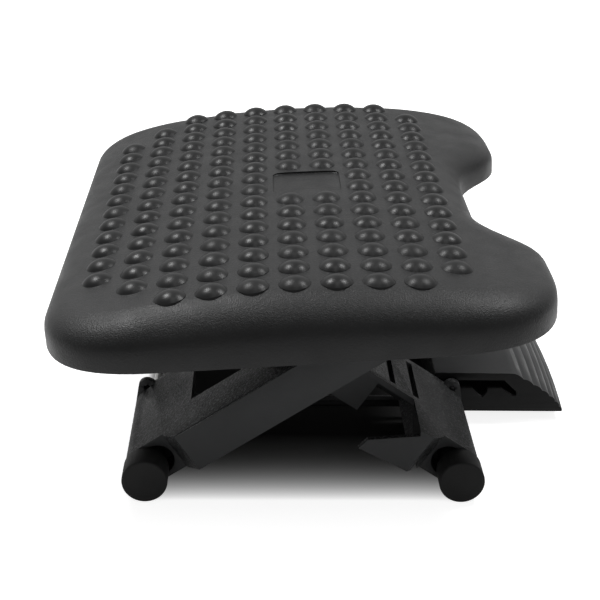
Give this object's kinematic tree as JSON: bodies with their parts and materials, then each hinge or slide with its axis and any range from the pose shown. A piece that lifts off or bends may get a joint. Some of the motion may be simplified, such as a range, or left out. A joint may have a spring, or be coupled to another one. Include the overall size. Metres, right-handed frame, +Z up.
{
  "type": "tilting under desk footrest",
  "caption": "Under desk footrest: a studded, crowned deck that tilts on two crossed leg frames, with a toe pedal whose notched sides hold the leg spread and so the height.",
  "frame": {"origin": "on the floor, under the middle of the whole object's footprint", "axes": "+Z up; X along the deck's long side with -X at the user's left; -Y towards the user, where the pedal's nose is, +Y towards the toes"},
  "size_m": [0.446, 0.3579, 0.1598],
  "materials": {
    "deck_plastic": "fine grained moulded, satin",
    "leg_plastic": "fine grained moulded",
    "pedal_plastic": "fine grained moulded",
    "rubber": "matt",
    "steel": "zinc plated"
  },
  "bodies": {
    "toe_foot": {"toe_foot_rod": "steel", "toe_foot_tube_left": "rubber", "toe_foot_tube_right": "rubber", "toe_rod_clip_left": "steel", "toe_rod_clip_right": "steel", "toe_rod_spacer_left": "rubber", "toe_rod_spacer_right": "rubber"},
    "toe_leg": {"leg_frame_toe": "leg_plastic", "cross_pin_left": "steel", "cross_pin_right": "steel", "upper_rod_toe_frame": "steel"},
    "user_leg": {"leg_frame_user": "leg_plastic", "upper_rod_user_frame": "steel", "latch_rod": "steel"},
    "user_foot_left": {"user_foot_tube_left": "rubber", "user_foot_pin_left": "steel"},
    "user_foot_right": {"user_foot_tube_right": "rubber", "user_foot_pin_right": "steel"},
    "carrier": {"carrier_rail_left": "steel", "carrier_rail_right": "steel", "carrier_tube_toe": "leg_plastic", "carrier_tube_user": "leg_plastic", "carrier_bolt_toe": "steel", "carrier_bolt_user": "steel", "tilt_rod": "steel", "tilt_friction_washer_left": "rubber", "tilt_friction_washer_right": "rubber"},
    "deck": {"deck_shell": "deck_plastic", "tilt_lug_left": "leg_plastic", "tilt_lug_right": "leg_plastic", "lug_screw_left_1": "steel", "lug_screw_left_2": "steel", "lug_screw_left_3": "steel", "lug_screw_left_4": "steel", "lug_screw_right_1": "steel", "lug_screw_right_2": "steel", "lug_screw_right_3": "steel", "lug_screw_right_4": "steel"},
    "pedal": {"pedal_shell": "pedal_plastic", "pedal_link_left": "steel", "pedal_link_right": "steel", "pedal_rivet_left_1": "steel", "pedal_rivet_left_2": "steel", "pedal_rivet_right_1": "steel", "pedal_rivet_right_2": "steel"}
  },
  "joints": [
    {"name": "height_fold", "type": "hinge", "parent": "toe_foot", "child": "toe_leg", "pos_m": [0, 0.11553, 0.0148], "axis": [1, 0, 0], "range_deg": [0, 14]},
    {"name": "leg_cross", "type": "hinge", "parent": "toe_leg", "child": "user_leg", "pos_m": [0, 0.01333, 0.08322], "axis": [1, 0, 0], "range_deg": [-28, 0]},
    {"name": "carrier_level", "type": "hinge", "parent": "toe_leg", "child": "carrier", "pos_m": [0, -0.03487, 0.11548], "axis": [1, 0, 0], "range_deg": [-14, 0]},
    {"name": "user_foot_turn_left", "type": "hinge", "parent": "user_leg", "child": "user_foot_left", "pos_m": [0, -0.08887, 0.0148], "axis": [1, 0, 0], "range_deg": [0, 14]},
    {"name": "user_foot_turn_right", "type": "hinge", "parent": "user_leg", "child": "user_foot_right", "pos_m": [0, -0.08887, 0.0148], "axis": [1, 0, 0], "range_deg": [0, 14]},
    {"name": "deck_tilt", "type": "hinge", "parent": "carrier", "child": "deck", "pos_m": [0, 0.01333, 0.11548], "axis": [1, 0, 0], "range_deg": [-12, 12]},
    {"name": "pedal_lift", "type": "hinge", "parent": "toe_foot", "child": "pedal", "pos_m": [0, 0.11553, 0.0148], "axis": [-1, 0, 0], "range_deg": [0, 1.5]}
  ],
  "couplings": [
    {"joint": "leg_cross", "follows": "height_fold", "ratio": -2},
    {"joint": "carrier_level", "follows": "height_fold", "ratio": -1},
    {"joint": "user_foot_turn_left", "follows": "height_fold", "ratio": 1},
    {"joint": "user_foot_turn_right", "follows": "height_fold", "ratio": 1}
  ]
}
